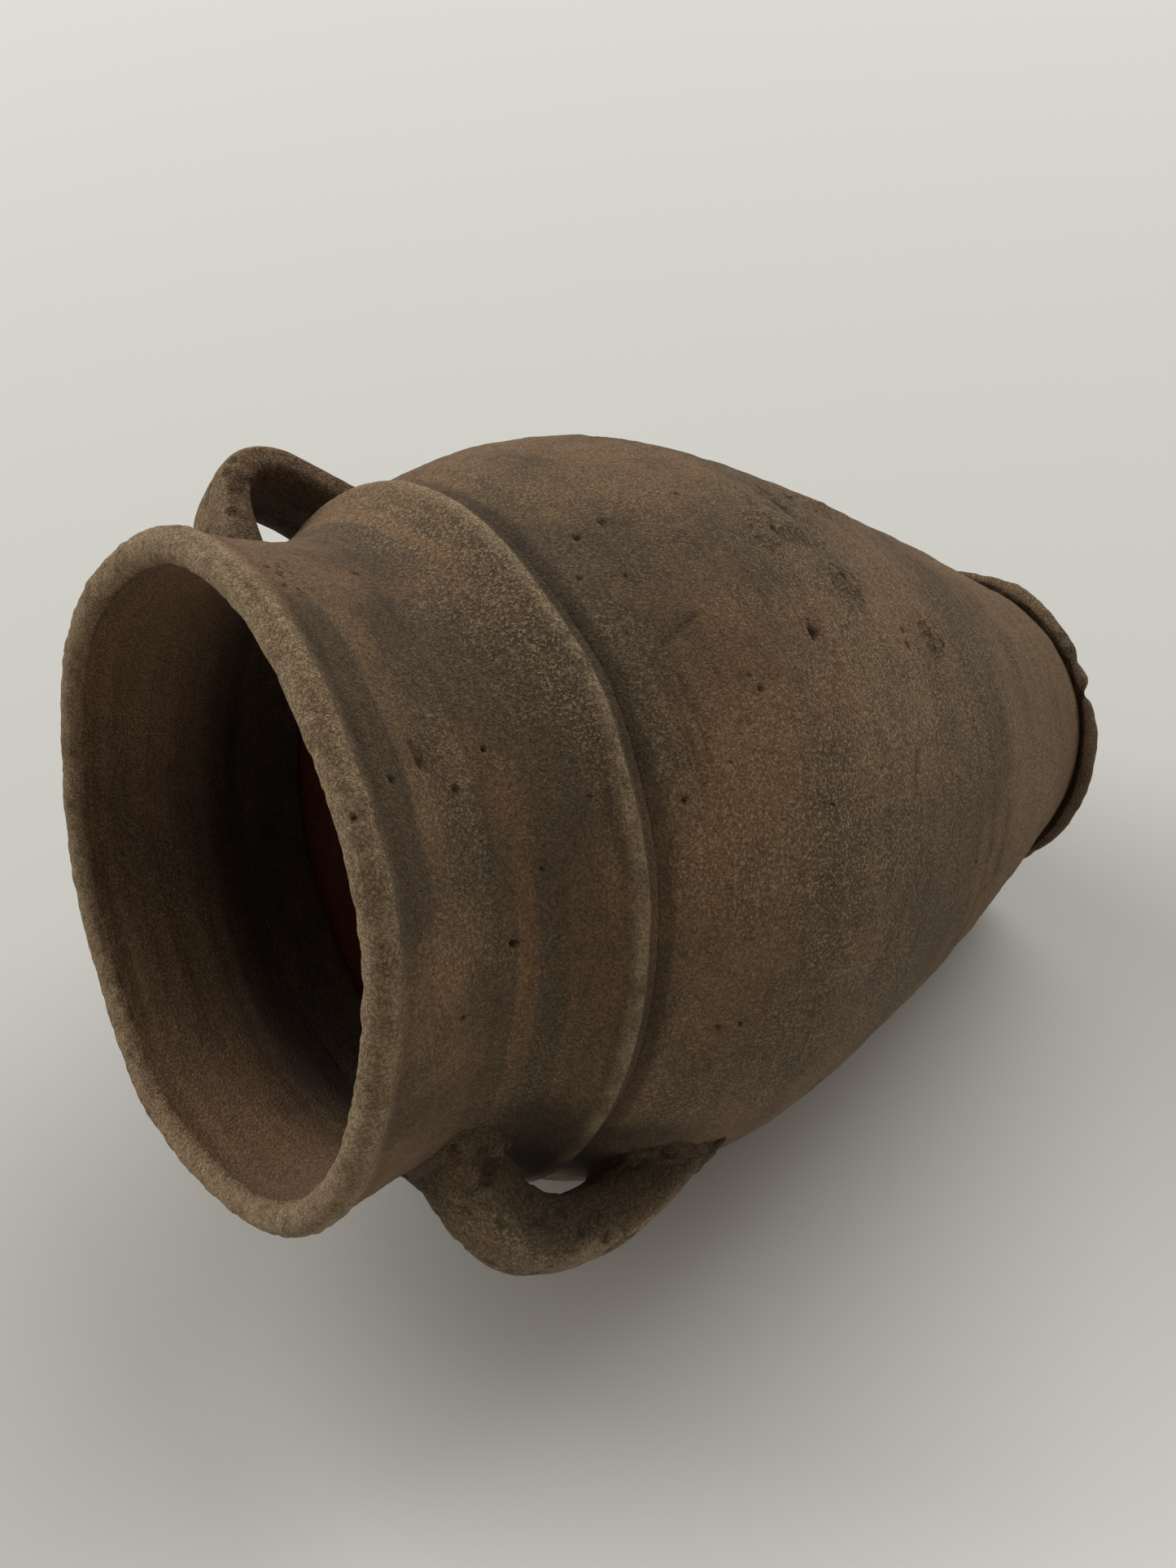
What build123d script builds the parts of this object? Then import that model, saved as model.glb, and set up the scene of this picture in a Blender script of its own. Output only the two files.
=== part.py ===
from build123d import *
import math
import os

os.makedirs("parts", exist_ok=True)

# Driving dimensions in millimetres and degrees
# The origin is the middle of the foot's underside, and +Z runs up to the mouth

# Whole pot
SEAM_HEIGHT = 184.5
NECK_HEIGHT = 56.5
SLIP_GAP = 0.2

# Foot disc with its thin flange
FOOT_RADIUS = 43.0
FLANGE_THICKNESS = 4.2
FLANGE_DISH = 1.8
FLOOR_THICKNESS = 9.0
FLOOR_COIL_SIZE = 8.0

# Body wall
HEEL_RADIUS = 38.4
HEEL_LEAN = 22.5
HEEL_PULL = 40.0
BELLY_RADIUS = 84.4
BELLY_HEIGHT = 146.0
BELLY_PULL_BELOW = 30.0
BELLY_PULL_ABOVE = 14.0
SHOULDER_RADIUS = 74.4
SHOULDER_LEAN = 29.0
SHOULDER_PULL = 13.0
BODY_WALL = 7.0

# Upright collar on the body that the neck slips over
LEDGE_WIDTH = 3.8
COLLAR_WALL = 4.0
COLLAR_HEIGHT = 6.5

# Neck with the ridge at its lower edge and the rolled lip
RIDGE_OVERHANG = 1.7
RIDGE_WIDTH = 6.0
RIDGE_PROUD = 1.1
NECK_LEAN = 40.0
NECK_PULL = 6.0
WAIST_RADIUS = 65.2
WAIST_RISE = 28.0
WAIST_PULL = 9.0
FLARE_LEAN = 14.0
NECK_WALL = 6.5
RIM_RADIUS = 70.0
LIP_THICKNESS = 7.0
SEAM_COIL_WIDTH = 16.0
SEAM_COIL_THICKNESS = 5.6
SEAM_COIL_ROUND = 1.6
THROAT_LEAN = 14.0
THROAT_PULL = 5.0

# Strap handles, set by hand: heights of top end, bulge and tail measured from the seam
LEFT_RISE = 23.5
LEFT_BULGE = 4.8
LEFT_DROP = 27.0
LEFT_THICKNESS = 13.4
LEFT_TURN = 4.0
RIGHT_RISE = 24.5
RIGHT_BULGE = 12.0
RIGHT_DROP = 9.3
RIGHT_THICKNESS = 8.0
HANDLE_REACH = 18.4
HANDLE_WIDTH = 19.0
TOP_THICKNESS = 10.0
TOP_WIDTH = 28.0
TAIL_THICKNESS = 8.0
TAIL_WIDTH = 29.0
ROOT_DEPTH = 9.0

# Shares that shape a strap: its rounded edges and how full its curve runs at each end
EDGE_ROUNDING = 0.36
ARCH_OUT = 0.7
ARCH_UP = 0.6
TAIL_HANG = 0.4
TAIL_LAND = 0.2

# Wads pressed over the ends of the handles
WAD_SPREAD = 3.4
WAD_LENGTH = 7.0
WAD_WRAP = 0.5
WAD_EDGE = 0.5
WAD_FULL = 0.4
WAD_ROOT = 0.05


def at(radius, height):
    return (radius, 0, height)


def bow(start, start_lean, start_pull, end, end_lean, end_pull):
    """Smooth wall curve between two (radius, height) points; leans are outward from upright."""
    a = math.radians(start_lean)
    b = math.radians(end_lean)
    first = (start[0] + start_pull * math.sin(a), start[1] + start_pull * math.cos(a))
    second = (end[0] - end_pull * math.sin(b), end[1] - end_pull * math.cos(b))
    return Bezier(at(*start), at(*first), at(*second), at(*end))


def turned(*edges):
    """Solid turned about the pot's axis from a closed outline."""
    return revolve(make_face(edges), Axis.Z)


def radius_at(curves, height):
    """Radius of a rising wall at a height."""
    for curve in curves:
        low, high = 0.0, 1.0
        if (curve @ 0).Z <= height <= (curve @ 1).Z:
            for _ in range(40):
                middle = (low + high) / 2
                if (curve @ middle).Z < height:
                    low = middle
                else:
                    high = middle
            return (curve @ low).X
    raise ValueError("the wall doesn't reach that height")


# Levels and seats that several pieces share
seat_height = FLANGE_THICKNESS - FLANGE_DISH
bore_radius = HEEL_RADIUS - BODY_WALL
bore_top = FLOOR_THICKNESS + FLOOR_COIL_SIZE
collar_radius = SHOULDER_RADIUS - LEDGE_WIDTH
throat_radius = collar_radius - COLLAR_WALL
socket_top = SEAM_HEIGHT + COLLAR_HEIGHT
ridge_radius = SHOULDER_RADIUS + RIDGE_OVERHANG
coil_bottom = socket_top - SEAM_COIL_WIDTH / 2
coil_top = socket_top + SEAM_COIL_WIDTH / 2
waist_height = SEAM_HEIGHT + WAIST_RISE
lip_radius = LIP_THICKNESS / 2
lip_centre = (RIM_RADIUS - lip_radius, SEAM_HEIGHT + NECK_HEIGHT - lip_radius)
under_lip = lip_radius * math.sqrt(0.5)


def body_outside(extra=0.0):
    heel = (HEEL_RADIUS + extra, seat_height)
    belly = (BELLY_RADIUS + extra, BELLY_HEIGHT)
    shoulder = (SHOULDER_RADIUS + extra, SEAM_HEIGHT)
    return [
        bow(heel, HEEL_LEAN, HEEL_PULL, belly, 0, BELLY_PULL_BELOW),
        bow(belly, 0, BELLY_PULL_ABOVE, shoulder, -SHOULDER_LEAN, SHOULDER_PULL),
    ]


def neck_outside(extra=0.0):
    skirt = (ridge_radius - RIDGE_PROUD + extra, SEAM_HEIGHT)
    crest = (ridge_radius + extra, SEAM_HEIGHT + RIDGE_WIDTH / 2)
    ridge_top = (skirt[0], SEAM_HEIGHT + RIDGE_WIDTH)
    waist = (WAIST_RADIUS + extra, waist_height)
    rim = (lip_centre[0] + under_lip + extra, lip_centre[1] - under_lip)
    return [
        ThreePointArc(at(*skirt), at(*crest), at(*ridge_top)),
        bow(ridge_top, -NECK_LEAN, NECK_PULL, waist, 0, WAIST_PULL),
        bow(waist, 0, WAIST_PULL, rim, FLARE_LEAN, WAIST_PULL),
    ]


def filled(curves):
    """Solid of everything inside an outer wall, for cutting saddles."""
    low = curves[0] @ 0
    high = curves[-1] @ 1
    middle = Polyline(high, (0, 0, high.Z), (0, 0, low.Z), low)
    return turned(*curves, *middle.edges())


# Foot disc: thin dished flange outside, round floor that plugs the body's bore
plug_radius = bore_radius - SLIP_GAP
flange_round = FLANGE_THICKNESS / 2
foot_disc = turned(
    Line(at(0, 0), at(FOOT_RADIUS - flange_round, 0)),
    ThreePointArc(
        at(FOOT_RADIUS - flange_round, 0),
        at(FOOT_RADIUS, flange_round),
        at(FOOT_RADIUS - flange_round, FLANGE_THICKNESS),
    ),
    *Polyline(
        at(FOOT_RADIUS - flange_round, FLANGE_THICKNESS),
        at(HEEL_RADIUS, seat_height),
        at(plug_radius, seat_height),
        at(plug_radius, FLOOR_THICKNESS),
        at(0, FLOOR_THICKNESS),
        at(0, 0),
    ).edges(),
)

# Coil pressed into the corner between floor and wall
coil_inside = plug_radius - FLOOR_COIL_SIZE
cove = FLOOR_COIL_SIZE * (1 - math.sqrt(0.5))
floor_coil = turned(
    *Polyline(
        at(coil_inside, FLOOR_THICKNESS), at(plug_radius, FLOOR_THICKNESS), at(plug_radius, bore_top)
    ).edges(),
    ThreePointArc(
        at(plug_radius, bore_top),
        at(plug_radius - cove, FLOOR_THICKNESS + cove),
        at(coil_inside, FLOOR_THICKNESS),
    ),
)

# Body: one coiled and smoothed wall from the foot to the collar
body_lower, body_upper = body_outside()
belly_inside = (BELLY_RADIUS - BODY_WALL, BELLY_HEIGHT)
throat_bottom = (throat_radius, coil_bottom)
bore_edge = (bore_radius, bore_top)
body = turned(
    body_lower,
    body_upper,
    *Polyline(
        at(SHOULDER_RADIUS, SEAM_HEIGHT),
        at(collar_radius, SEAM_HEIGHT),
        at(collar_radius, socket_top - SLIP_GAP),
        at(throat_radius, socket_top - SLIP_GAP),
        at(*throat_bottom),
    ).edges(),
    bow(belly_inside, 0, BELLY_PULL_ABOVE, throat_bottom, -SHOULDER_LEAN, SHOULDER_PULL),
    bow(bore_edge, HEEL_LEAN, HEEL_PULL, belly_inside, 0, BELLY_PULL_BELOW),
    *Polyline(at(*bore_edge), at(bore_radius, seat_height), at(HEEL_RADIUS, seat_height)).edges(),
)

# Neck: skirt that laps the collar, ridge, waist and rolled lip, with a rebate for the coil inside
socket_radius = collar_radius + SLIP_GAP
coil_face = throat_radius - SEAM_COIL_THICKNESS
waist_inside = (WAIST_RADIUS - NECK_WALL, waist_height)
lip_inside = (lip_centre[0] - lip_radius, lip_centre[1])
ridge, neck_lower, neck_upper = neck_outside()
neck = turned(
    ridge,
    neck_lower,
    neck_upper,
    ThreePointArc(neck_upper @ 1, at(lip_centre[0], lip_centre[1] + lip_radius), at(*lip_inside)),
    bow(waist_inside, 0, WAIST_PULL, lip_inside, FLARE_LEAN, WAIST_PULL),
    bow((coil_face, coil_top), -THROAT_LEAN, THROAT_PULL, waist_inside, 0, THROAT_PULL),
    *Polyline(
        at(coil_face, coil_top),
        at(throat_radius, coil_top),
        at(throat_radius, socket_top),
        at(socket_radius, socket_top),
        at(socket_radius, SEAM_HEIGHT),
        ridge @ 0,
    ).edges(),
)

# Coil pressed over the seam inside the throat, smeared flush with the neck and left as a ledge below
coil_back = throat_radius - SLIP_GAP
coil_roof = coil_top - SLIP_GAP
coil_round_radius = coil_face + SEAM_COIL_ROUND
coil_round_height = coil_bottom + SEAM_COIL_ROUND
coil_round_middle = SEAM_COIL_ROUND * math.sqrt(0.5)
seam_coil = turned(
    *Polyline(
        at(coil_round_radius, coil_bottom),
        at(coil_back, coil_bottom),
        at(coil_back, coil_roof),
        at(coil_face, coil_roof),
        at(coil_face, coil_round_height),
    ).edges(),
    ThreePointArc(
        at(coil_face, coil_round_height),
        at(coil_round_radius - coil_round_middle, coil_round_height - coil_round_middle),
        at(coil_round_radius, coil_bottom),
    ),
)

# Straps and wads end in saddles that fit the walls with room for slip
neck_room = filled(neck_outside(SLIP_GAP))
body_room = filled(body_outside(SLIP_GAP))


def band(line, where, thickness, width, rounding, lift=0.0):
    """Flat section with rounded edges, square to a strap's centre line and lifted away from the wall."""
    along = line % where
    across = Vector(along.Z, 0, -along.X)
    middle = (line @ where) - across * lift
    plane = Plane(origin=middle, x_dir=across, z_dir=along)
    return plane * RectangleRounded(thickness, width, rounding)


def strap(arch, tail, full_thickness, extra=0.0):
    """Handle strap, wide at both ends and narrowest round the bulge."""
    sections = []
    for where in (0.0, 0.3, 0.65):
        swell = (1 - where) ** 2
        thickness = full_thickness + (TOP_THICKNESS - full_thickness) * swell
        width = HANDLE_WIDTH + (TOP_WIDTH - HANDLE_WIDTH) * swell
        rounding = thickness * EDGE_ROUNDING + extra
        sections.append(band(arch, where, thickness + 2 * extra, width + 2 * extra, rounding))
    for where in (0.0, 0.35, 0.7, 1.0):
        swell = where**2
        thickness = full_thickness + (TAIL_THICKNESS - full_thickness) * swell
        width = HANDLE_WIDTH + (TAIL_WIDTH - HANDLE_WIDTH) * swell
        rounding = thickness * EDGE_ROUNDING + extra
        sections.append(band(tail, where, thickness + 2 * extra, width + 2 * extra, rounding))
    return loft(sections)


def wad(line, root, wall, tip, thickness, width):
    """Wad pressed over the outer side of a strap end, rounded off along the strap."""
    sections = []
    for where, share in ((root, 0.0), (wall, 0.0), (wall + (tip - wall) * WAD_FULL, WAD_FULL), (tip, 1.0)):
        spread = WAD_EDGE + (WAD_SPREAD - WAD_EDGE) * math.sqrt(1 - share**2)
        deep = thickness * (1 + WAD_WRAP) / 2 + spread
        lift = (thickness * (1 - WAD_WRAP) / 2 + spread) / 2
        rounding = thickness * EDGE_ROUNDING
        sections.append(band(line, where, deep, width + 2 * spread, rounding, lift))
    return loft(sections)


def hand_set(rise, bulge, drop, thickness):
    """Handle with its two wads: out from the neck, over the bulge and down to the shoulder."""
    top_height = SEAM_HEIGHT + rise
    bulge_height = SEAM_HEIGHT + bulge
    tail_height = SEAM_HEIGHT - drop
    top_radius = radius_at(neck_outside(), top_height)
    bulge_radius = ridge_radius + HANDLE_REACH - thickness / 2
    tail_radius = radius_at(body_outside(), tail_height)
    fall = bulge_height - tail_height
    arch = Bezier(
        at(top_radius - ROOT_DEPTH, top_height),
        at(top_radius + (bulge_radius - top_radius) * ARCH_OUT, top_height),
        at(bulge_radius, bulge_height + (top_height - bulge_height) * ARCH_UP),
        at(bulge_radius, bulge_height),
    )
    tail = Bezier(
        at(bulge_radius, bulge_height),
        at(bulge_radius, bulge_height - fall * TAIL_HANG),
        at(tail_radius, tail_height + fall * TAIL_LAND),
        at(tail_radius - ROOT_DEPTH, tail_height - ROOT_DEPTH),
    )
    handle = strap(arch, tail, thickness) - neck_room - body_room
    strap_room = strap(arch, tail, thickness, SLIP_GAP)
    top_wall = ROOT_DEPTH / arch.length
    top_tip = (ROOT_DEPTH + WAD_LENGTH) / arch.length
    tail_wall = 1 - ROOT_DEPTH * math.sqrt(2) / tail.length
    tail_tip = tail_wall - WAD_LENGTH / tail.length
    upper = wad(arch, WAD_ROOT, top_wall, top_tip, TOP_THICKNESS, TOP_WIDTH)
    lower = wad(tail, 1 - WAD_ROOT, tail_wall, tail_tip, TAIL_THICKNESS, TAIL_WIDTH)
    return handle, upper - neck_room - strap_room, lower - body_room - strap_room


pieces = {
    "foot_disc": foot_disc,
    "floor_coil": floor_coil,
    "body": body,
    "neck": neck,
    "seam_coil": seam_coil,
}
left_set = hand_set(LEFT_RISE, LEFT_BULGE, LEFT_DROP, LEFT_THICKNESS)
right_set = hand_set(RIGHT_RISE, RIGHT_BULGE, RIGHT_DROP, RIGHT_THICKNESS)
for kind, left_piece, right_piece in zip(("handle", "wad_upper", "wad_lower"), left_set, right_set):
    pieces[kind + "_left"] = left_piece.rotate(Axis.Z, 180 + LEFT_TURN)
    pieces[kind + "_right"] = right_piece

for name, piece in pieces.items():
    export_step(piece, "parts/" + name + ".step")
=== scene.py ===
import math
from collections import namedtuple

import bpy
import numpy as np
from mathutils import Matrix, Vector


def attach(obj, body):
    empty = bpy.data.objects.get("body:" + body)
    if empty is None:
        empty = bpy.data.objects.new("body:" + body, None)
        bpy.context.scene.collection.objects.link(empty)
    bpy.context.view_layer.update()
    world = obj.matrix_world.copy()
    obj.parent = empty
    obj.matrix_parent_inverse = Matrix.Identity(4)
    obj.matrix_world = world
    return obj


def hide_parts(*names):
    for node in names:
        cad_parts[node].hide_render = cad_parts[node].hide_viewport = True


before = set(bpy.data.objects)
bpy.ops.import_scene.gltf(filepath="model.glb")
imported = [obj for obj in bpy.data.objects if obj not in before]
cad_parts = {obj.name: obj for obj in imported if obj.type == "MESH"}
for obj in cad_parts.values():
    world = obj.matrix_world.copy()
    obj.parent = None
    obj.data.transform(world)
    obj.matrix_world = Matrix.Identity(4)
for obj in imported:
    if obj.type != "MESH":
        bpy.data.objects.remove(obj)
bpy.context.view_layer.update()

MM = 0.001

# Jar sizes, in millimetres and degrees
SEAM_HEIGHT = 184.5
FOOT_RADIUS = 43.0
FLANGE_THICKNESS = 4.2
RIM_ROUND = FLANGE_THICKNESS / 2.0
FLOOR_HEIGHT = 9.0
SEAT_HEIGHT = 2.4
PLUG_RADIUS = 31.2
AXIS_RADIUS = 0.4
BORE_RADIUS = 31.4
BORE_TOP = 17.0
FLOOR_COIL_SIZE = 8.0
HEEL = (38.4, SEAT_HEIGHT)
BELLY = (84.4, 146.0)
SHOULDER = (74.4, SEAM_HEIGHT)
BODY_WALL = 7.0
COLLAR_RADIUS = 70.6
COLLAR_TOP = 190.8
THROAT_RADIUS = 66.6
COIL_BOTTOM = 183.0
COIL_TOP = 199.0
COIL_FACE = 61.0
COIL_ROUNDING = 1.6
RIDGE_RADIUS = 76.1
RIDGE_EDGE = 75.0
RIDGE_CREST = 188.0
RIDGE_FOOT = 74.6
RIDGE_TOP = 190.5
RIDGE_DRIFT = 1.7
SOCKET_RADIUS = 70.8
SOCKET_TOP = 191.0
WAIST = (65.2, 212.5)
NECK_WALL = 6.5
LIP_CENTRE = (66.5, 237.5)
LIP_RADIUS = 3.5
RIM = (69.79, 236.3)
JAR_HEIGHT = LIP_CENTRE[1] + LIP_RADIUS
HANDLE_FACE = 94.4
ROOT_DEPTH = 9.0
BURIED = 3.5

# Handle straps: heights of the top root, the fullest point and the tail, then the sizes at the fullest
# point. Place is in degrees round the jar and shift is sideways. Flare thickens the top root on the
# hole's side, and the last field, from 0 to 1, is how strongly painted shade darkens the strap's
# sides and roots.
Strap = namedtuple("Strap", "top full tail thickness width place shift flare soiled")
LEFT_HANDLE = Strap(208.0, 189.3, 157.5, thickness=14.0, width=19.0,
                    place=184.0, shift=0.0, flare=0.0, soiled=1.0)
RIGHT_HANDLE = Strap(209.0, 196.5, 175.2, thickness=8.0, width=22.6,
                     place=0.0, shift=1.8, flare=4.5, soiled=0.2)
TOP_THICKNESS, TOP_WIDTH = 10.0, 28.0
TAIL_THICKNESS, TAIL_WIDTH = 8.0, 29.0
STRAP_SQUARENESS = 3.6

# Mesh fineness
FRONT_STEPS = 540
BACK_STEPS = 200
FRONT_FROM, FRONT_TO = -190.0, 10.0
STRAP_STEPS = 150
STRAP_AROUND = 72
WALL_POINTS, ARC_POINTS, HANDLE_POINTS = 80, 40, 60


# Uneven clay

def lattice(i, j, k, seed):
    """A repeatable value from -1 to 1 for each whole-number point."""
    n = (i * 73856093) ^ (j * 19349663) ^ (k * 83492791) ^ (seed * 49979687)
    n = (n ^ (n >> 13)) * 1274126177
    n = (n ^ (n >> 16)) * 668265263
    n = n ^ (n >> 15)
    return (n & 0xFFFF) / 32767.5 - 1.0


def lumps(p, size, seed):
    """Smooth rise and fall over points p, with lumps about size millimetres across."""
    q = p / size
    cell = np.floor(q).astype(np.int64)
    t = q - cell
    t = t * t * t * (t * (t * 6.0 - 15.0) + 10.0)
    total = np.zeros(p.shape[:-1])
    for a in (0, 1):
        wa = t[..., 0] if a else 1.0 - t[..., 0]
        for b in (0, 1):
            wb = wa * (t[..., 1] if b else 1.0 - t[..., 1])
            for c in (0, 1):
                wc = wb * (t[..., 2] if c else 1.0 - t[..., 2])
                total += wc * lattice(cell[..., 0] + a, cell[..., 1] + b, cell[..., 2] + c, seed)
    return total


def turned_lumps(p, size, seed):
    """Lumps drawn out round the jar, as left by turning."""
    return lumps(p * np.array([0.09, 0.09, 1.0]), size, seed)


def layered(p, layers, way=lumps):
    """Several sizes of lumps laid over each other. Layers are (height, size, seed)."""
    return sum(height * way(p, size, seed) for height, size, seed in layers)


def ease(value, start, end):
    """A smooth step from 0 at start to 1 at end."""
    t = np.clip((value - start) / (end - start), 0.0, 1.0)
    return t * t * (3.0 - 2.0 * t)


def hump(value, middle, width):
    """1 at the middle, fading to nothing over about width either side."""
    return np.exp(-((value - middle) / width) ** 2)


def unit(ways):
    """The same directions, with a length of one."""
    return ways / np.linalg.norm(ways, axis=-1)[..., None]


def from_axis(p):
    """Distance of points p from the jar's middle line."""
    return np.hypot(p[..., 0], p[..., 1])


def by_hand(p):
    """The gentle unevenness of hand work, shared by all the pieces so that they stay together."""
    x, y, z = p[..., 0], p[..., 1], p[..., 2]
    turn = np.arctan2(y, x)
    side = np.degrees(turn)
    up = np.clip(z / JAR_HEIGHT, 0.0, 1.0)
    swell = 1.0 + up * (0.004 * np.cos(2.0 * turn + 0.7) + 0.003 * np.sin(3.0 * turn + 0.2))
    drift = RIDGE_DRIFT * ease(side, -91.0, -70.0) * (1.0 - ease(side, -10.0, 40.0))
    wave = drift + 0.25 * np.sin(3.0 * turn - 1.1)
    lift = wave * hump(z, SEAM_HEIGHT + 3.0, 26.0)
    rim = 0.45 * np.sin(turn + 2.2) + 0.45 * np.sin(4.0 * turn + 0.4) + 0.3 * np.sin(7.0 * turn)
    lift = lift + rim * ease(z, 214.0, 238.0)
    return np.stack([x * swell, y * swell, z + lift], axis=-1)


# Lines of the turned walls

def curve(points, count):
    """A smooth curve through the first and last of four points, drawn towards the middle two."""
    a, b, c, d = (np.array(q, dtype=float) for q in points)
    t = np.linspace(0.0, 1.0, count)[:, None]
    return (1 - t) ** 3 * a + 3 * (1 - t) ** 2 * t * b + 3 * (1 - t) * t * t * c + t ** 3 * d


def bow(start, start_lean, start_pull, end, end_lean, end_pull):
    """A smooth wall line. Leans are measured from upright."""
    a, b = math.radians(start_lean), math.radians(end_lean)
    p0, p3 = np.array(start), np.array(end)
    p1 = p0 + start_pull * np.array([math.sin(a), math.cos(a)])
    p2 = p3 - end_pull * np.array([math.sin(b), math.cos(b)])
    return curve((p0, p1, p2, p3), WALL_POINTS)


def round_arc(centre, radius, start, end):
    """Part of a circle from one angle to another, in degrees."""
    a = np.radians(np.linspace(start, end, ARC_POINTS))
    return np.stack([centre[0] + radius * np.cos(a), centre[1] + radius * np.sin(a)], axis=-1)


def straight(*points):
    return np.array(points, dtype=float)


def seat(step, *points):
    """Straight stretches of an outline that rest against another piece, from point to point."""
    return [(straight(a, b), step, "seat") for a, b in zip(points, points[1:])]


def run_along(line):
    """Distance travelled along a line at each of its points."""
    return np.concatenate([[0.0], np.cumsum(np.hypot(*np.diff(line, axis=0).T))])


def points_along(line, count):
    """Points an even distance apart along a line, and the run to each of them."""
    run = run_along(line)
    at = np.linspace(0.0, run[-1], count)
    return np.stack([np.interp(at, run, line[:, 0]), np.interp(at, run, line[:, 1])], axis=-1), at


def even(line, step):
    """The same line with points about a step apart."""
    count = max(2, int(round(run_along(line)[-1] / step)) + 1)
    return points_along(line, count)[0]


def joined(*lines):
    return np.concatenate([lines[0]] + [line[1:] for line in lines[1:]])


BODY_OUTSIDE = joined(bow(HEEL, 22.5, 40, BELLY, 0, 30), bow(BELLY, 0, 14, SHOULDER, -29, 13))
BELLY_INSIDE = (BELLY[0] - BODY_WALL, BELLY[1])
BODY_INSIDE = joined(
    bow((BORE_RADIUS, BORE_TOP), 22.5, 40, BELLY_INSIDE, 0, 30),
    bow(BELLY_INSIDE, 0, 14, (THROAT_RADIUS, COIL_BOTTOM), -29, 13),
)[::-1]
RIDGE_UNDERSIDE = (RIDGE_FOOT + 0.4, 187.0)
RIDGE_BACK = (75.7, 189.2)
NECK_OUTSIDE = joined(
    straight((RIDGE_FOOT, SEAM_HEIGHT), (RIDGE_FOOT, 186.2), RIDGE_UNDERSIDE),
    straight(RIDGE_UNDERSIDE, (RIDGE_RADIUS, RIDGE_CREST), RIDGE_BACK, (RIDGE_EDGE, RIDGE_TOP)),
    bow((RIDGE_EDGE, RIDGE_TOP), -40, 6, WAIST, 0, 9),
    bow(WAIST, 0, 9, RIM, 20, 5),
)
LIP_LINE = round_arc(LIP_CENTRE, LIP_RADIUS, -20.0, 180.0)
WAIST_INSIDE = (WAIST[0] - NECK_WALL, WAIST[1])
LIP_INSIDE = (LIP_CENTRE[0] - LIP_RADIUS, LIP_CENTRE[1])
NECK_INSIDE = joined(
    bow((COIL_FACE, COIL_TOP), -14, 5, WAIST_INSIDE, 0, 5),
    bow(WAIST_INSIDE, 0, 9, LIP_INSIDE, 14, 9),
)[::-1]


def wall_radius(z):
    """Radius of the jar's outside at height z."""
    line = np.concatenate([BODY_OUTSIDE, NECK_OUTSIDE])
    return np.interp(z, line[:, 1], line[:, 0])


# Marks left on the jar: place round the jar in degrees, height, radius, depth
BODY_PITS = (
    (-95.4, 158.1, 1.0, 1.2), (-111.8, 147.4, 0.9, 1.0), (-140.2, 167.2, 0.7, 0.8),
    (-140.4, 171.2, 0.9, 1.0), (-107.2, 177.8, 0.8, 0.9), (-93.3, 159.6, 0.5, 0.6),
    (-103.8, 168.5, 0.5, 0.5), (-108.9, 130.6, 0.9, 0.7), (-88.9, 139.5, 2.6, 1.1),
    (-79.4, 119.2, 2.4, 0.7), (-88.4, 104.7, 1.3, 0.9), (-91.2, 105.6, 1.2, 1.0),
    (-71.1, 133.0, 1.4, 0.9), (-57.8, 108.5, 2.2, 1.3), (-55.0, 107.0, 1.5, 1.0),
    (-64.8, 168.9, 1.3, 0.8), (-62.6, 150.1, 1.2, 0.7), (-72.7, 179.3, 1.0, 0.6),
    (-131.5, 85.8, 0.9, 0.6), (-140.8, 73.8, 1.0, 0.7), (-75.0, 172.0, 0.8, 0.6),
    (-66.0, 175.0, 1.1, 0.7), (-114.8, 43.2, 0.6, 0.4), (60.0, 120.0, 1.2, 0.9),
    (95.0, 160.0, 1.0, 0.8), (130.0, 92.0, 1.4, 0.9), (20.0, 75.0, 1.0, 0.8),
    (160.0, 140.0, 0.9, 0.8), (105.0, 60.0, 1.1, 0.8), (45.0, 165.0, 0.8, 0.7),
)
BODY_RAISED = (
    (-71.5, 135.5, 3.2, 0.7), (-69.5, 131.0, 2.4, 0.5), (-58.5, 104.5, 3.0, 0.7),
    (-60.0, 99.5, 2.6, 0.6), (-87.5, 92.5, 2.6, 0.8), (-90.0, 92.8, 2.4, 0.7),
    (-79.8, 118.9, 2.8, 0.9), (-64.0, 165.5, 2.6, 0.4), (-86.5, 136.5, 2.5, 0.4),
    (80.0, 105.0, 3.0, 0.6), (140.0, 150.0, 3.4, 0.5), (30.0, 130.0, 3.0, 0.5),
)
# Scratches: from place and height, to place and height, width, depth
BODY_SCRATCHES = (
    (-86.9, 174.9, -106.5, 174.2, 0.42, 0.34), (-86.9, 176.2, -104.0, 175.6, 0.38, 0.2),
    (-91.0, 172.9, -103.6, 171.8, 0.42, 0.32), (-92.5, 171.7, -101.0, 170.6, 0.38, 0.2),
    (-86.9, 174.6, -83.5, 164.5, 0.5, 0.3), (-91.5, 165.5, -93.0, 166.1, 0.35, 0.25),
    (-107.5, 114.9, -114.4, 118.4, 0.7, 0.35), (-110.0, 172.6, -122.0, 172.0, 0.35, 0.15),
    (-109.0, 170.2, -119.0, 169.6, 0.35, 0.15), (-112.0, 167.8, -124.0, 167.4, 0.35, 0.12),
    (70.0, 168.0, 88.0, 166.0, 0.5, 0.25), (150.0, 118.0, 142.0, 113.0, 0.6, 0.3),
)
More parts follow.
